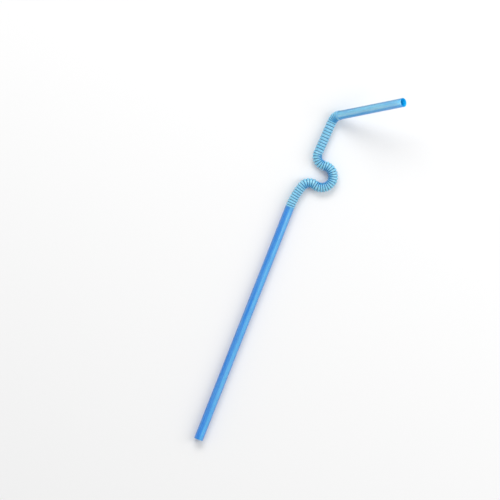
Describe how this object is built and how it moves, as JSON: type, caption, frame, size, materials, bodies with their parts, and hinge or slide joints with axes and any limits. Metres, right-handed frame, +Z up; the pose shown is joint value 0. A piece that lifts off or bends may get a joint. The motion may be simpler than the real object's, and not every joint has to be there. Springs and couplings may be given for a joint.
{
  "type": "plastic drinking straw",
  "caption": "Thin-walled plastic drinking straw lying down: smooth shaft, long pleated neck bent into an S, and a short raised tip, open from end to end.",
  "frame": {"origin": "on the surface that the straw lies on, under the middle of its bounding box", "axes": "+Z up, +Y roughly along the shaft from the lower end towards the pleated neck, +X the side that the raised tip points to"},
  "size_m": [0.1388, 0.2246, 0.0439],
  "materials": {
    "blue_plastic": "glossy translucent blue polypropylene"
  },
  "bodies": {
    "root": {"straw": "blue_plastic"}
  },
  "joints": []
}
